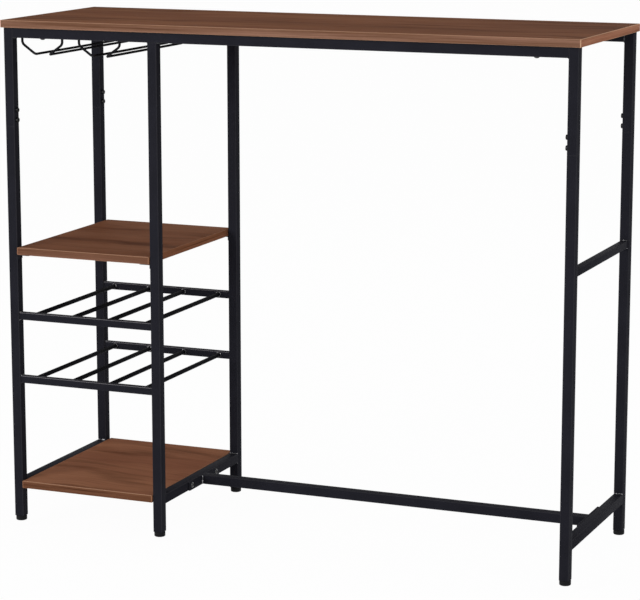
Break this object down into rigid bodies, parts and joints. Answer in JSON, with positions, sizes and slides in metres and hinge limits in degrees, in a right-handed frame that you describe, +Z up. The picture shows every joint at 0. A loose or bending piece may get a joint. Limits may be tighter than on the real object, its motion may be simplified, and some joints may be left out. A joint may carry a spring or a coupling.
{
  "type": "bar counter with shelves",
  "caption": "Long narrow bar counter on a square-tube steel frame, with shelves, bottle racks and hanging wires for stemmed glasses at one end and leg space with a footrest at the other.",
  "frame": {"origin": "on the floor, under the middle of the worktop", "axes": "+X along the counter, away from the shelf bay; +Y to the back; +Z up"},
  "size_m": [1.2, 0.4, 1.03],
  "materials": {
    "wood_board": "satin brown wood grain along the length",
    "black_steel": "fine matt black powder coat",
    "black_plastic": "matt black moulded plastic"
  },
  "bodies": {
    "frame": {"worktop": "wood_board", "upper_shelf": "wood_board", "lower_shelf": "wood_board", "top_rail_front": "black_steel", "top_rail_rear": "black_steel", "leg_front_left": "black_steel", "leg_front_middle": "black_steel", "leg_front_right": "black_steel", "leg_rear_left": "black_steel", "leg_rear_middle": "black_steel", "leg_rear_right": "black_steel", "leg_top_front_left": "black_steel", "leg_top_front_right": "black_steel", "leg_top_rear_left": "black_steel", "leg_top_rear_right": "black_steel", "leg_sleeve_front_left": "black_steel", "leg_sleeve_front_right": "black_steel", "leg_sleeve_rear_left": "black_steel", "leg_sleeve_rear_right": "black_steel", "lower_rail_left": "black_steel", "lower_rail_middle": "black_steel", "lower_rail_right": "black_steel", "upper_side_rail": "black_steel", "footrest_tube": "black_steel", "footrest_plate_left": "black_steel", "footrest_plate_right": "black_steel", "shelf_bracket_front_left": "black_steel", "shelf_bracket_front_right": "black_steel", "shelf_bracket_rear_left": "black_steel", "shelf_bracket_rear_right": "black_steel", "shelf_strip_left": "black_steel", "shelf_strip_right": "black_steel", "upper_rack_bar_front": "black_steel", "upper_rack_bar_rear": "black_steel", "lower_rack_bar_front": "black_steel", "lower_rack_bar_rear": "black_steel", "upper_rack_rod_1": "black_steel", "upper_rack_rod_2": "black_steel", "upper_rack_rod_3": "black_steel", "upper_rack_rod_4": "black_steel", "lower_rack_rod_1": "black_steel", "lower_rack_rod_2": "black_steel", "lower_rack_rod_3": "black_steel", "lower_rack_rod_4": "black_steel", "glass_hanger_1": "black_steel", "glass_hanger_2": "black_steel", "foot_plug_front_left": "black_plastic", "foot_plug_front_middle": "black_plastic", "foot_plug_front_right": "black_plastic", "foot_plug_rear_left": "black_plastic", "foot_plug_rear_middle": "black_plastic", "foot_plug_rear_right": "black_plastic"},
    "levelling_foot_front_left": {"foot_front_left": "black_plastic"},
    "levelling_foot_front_middle": {"foot_front_middle": "black_plastic"},
    "levelling_foot_front_right": {"foot_front_right": "black_plastic"},
    "levelling_foot_rear_left": {"foot_rear_left": "black_plastic"},
    "levelling_foot_rear_middle": {"foot_rear_middle": "black_plastic"},
    "levelling_foot_rear_right": {"foot_rear_right": "black_plastic"}
  },
  "joints": [
    {"name": "foot_front_left_level", "type": "slide", "parent": "frame", "child": "levelling_foot_front_left", "axis": [0, 0, -1], "range_m": [0, 0.012]},
    {"name": "foot_front_middle_level", "type": "slide", "parent": "frame", "child": "levelling_foot_front_middle", "axis": [0, 0, -1], "range_m": [0, 0.012]},
    {"name": "foot_front_right_level", "type": "slide", "parent": "frame", "child": "levelling_foot_front_right", "axis": [0, 0, -1], "range_m": [0, 0.012]},
    {"name": "foot_rear_left_level", "type": "slide", "parent": "frame", "child": "levelling_foot_rear_left", "axis": [0, 0, -1], "range_m": [0, 0.012]},
    {"name": "foot_rear_middle_level", "type": "slide", "parent": "frame", "child": "levelling_foot_rear_middle", "axis": [0, 0, -1], "range_m": [0, 0.012]},
    {"name": "foot_rear_right_level", "type": "slide", "parent": "frame", "child": "levelling_foot_rear_right", "axis": [0, 0, -1], "range_m": [0, 0.012]}
  ]
}
